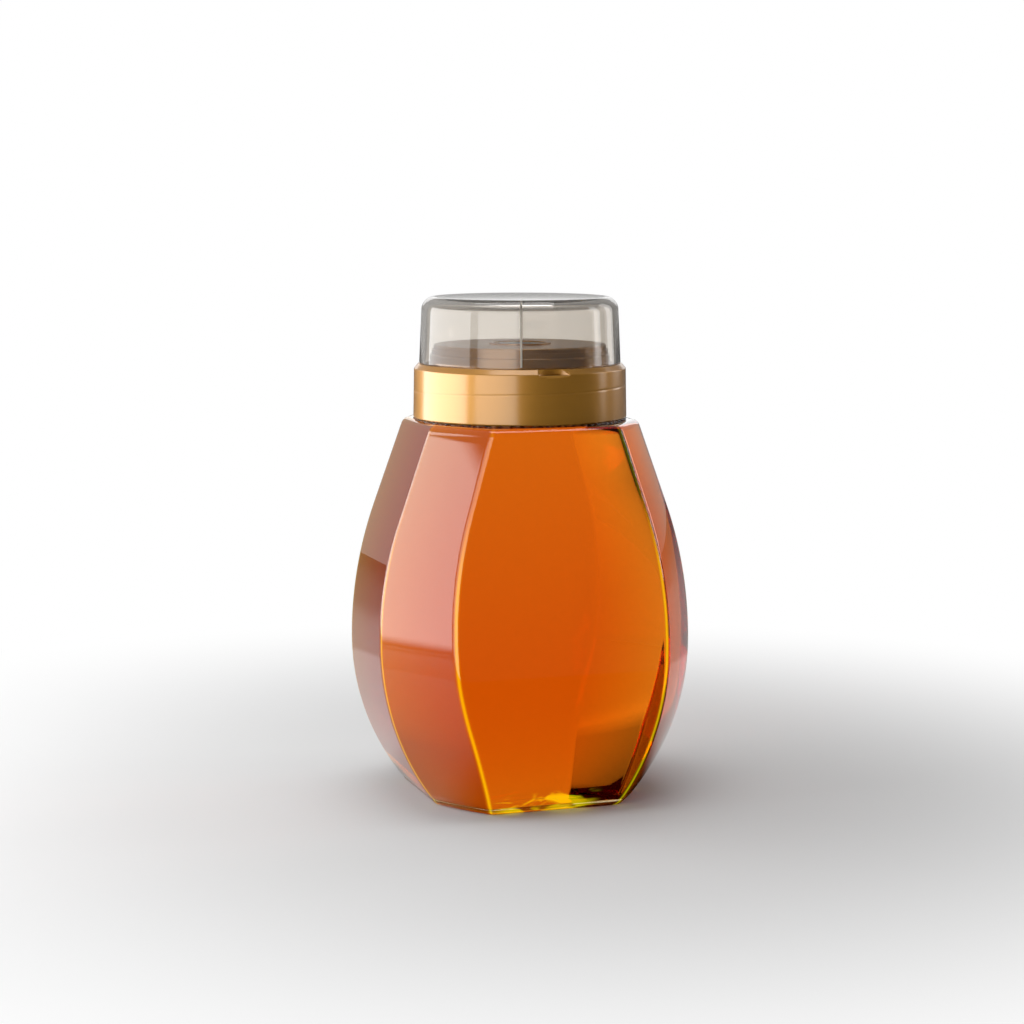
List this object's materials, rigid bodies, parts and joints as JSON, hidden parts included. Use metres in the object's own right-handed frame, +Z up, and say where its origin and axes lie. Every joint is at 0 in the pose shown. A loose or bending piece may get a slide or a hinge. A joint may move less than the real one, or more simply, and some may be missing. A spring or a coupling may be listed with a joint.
{
  "type": "honey bottle",
  "caption": "Clear panelled squeeze bottle full of honey, with a gold screw closure, a sunk valve and a smoky flip lid hinged at the back.",
  "frame": {"origin": "middle of the base, on the surface the bottle stands on", "axes": "+Z up, -Y is the front panel and the thumb recess, +Y the hinge, X across the widest panels"},
  "size_m": [0.1104, 0.0958, 0.17],
  "materials": {
    "clear_plastic": "clear polished PET",
    "honey": "clear amber liquid",
    "gold_plastic": "gold metallic polypropylene",
    "silicone": "translucent silicone",
    "smoky_plastic": "smoky translucent polypropylene"
  },
  "bodies": {
    "bottle": {"bottle": "clear_plastic", "honey": "honey", "closure": "gold_plastic", "valve": "silicone"},
    "lid": {"lid": "smoky_plastic"}
  },
  "joints": [
    {"name": "lid_hinge", "type": "hinge", "parent": "bottle", "child": "lid", "pos_m": [0, 0.0334, 0.1448], "axis": [-1, 0, 0], "range_deg": [0, 110]}
  ]
}
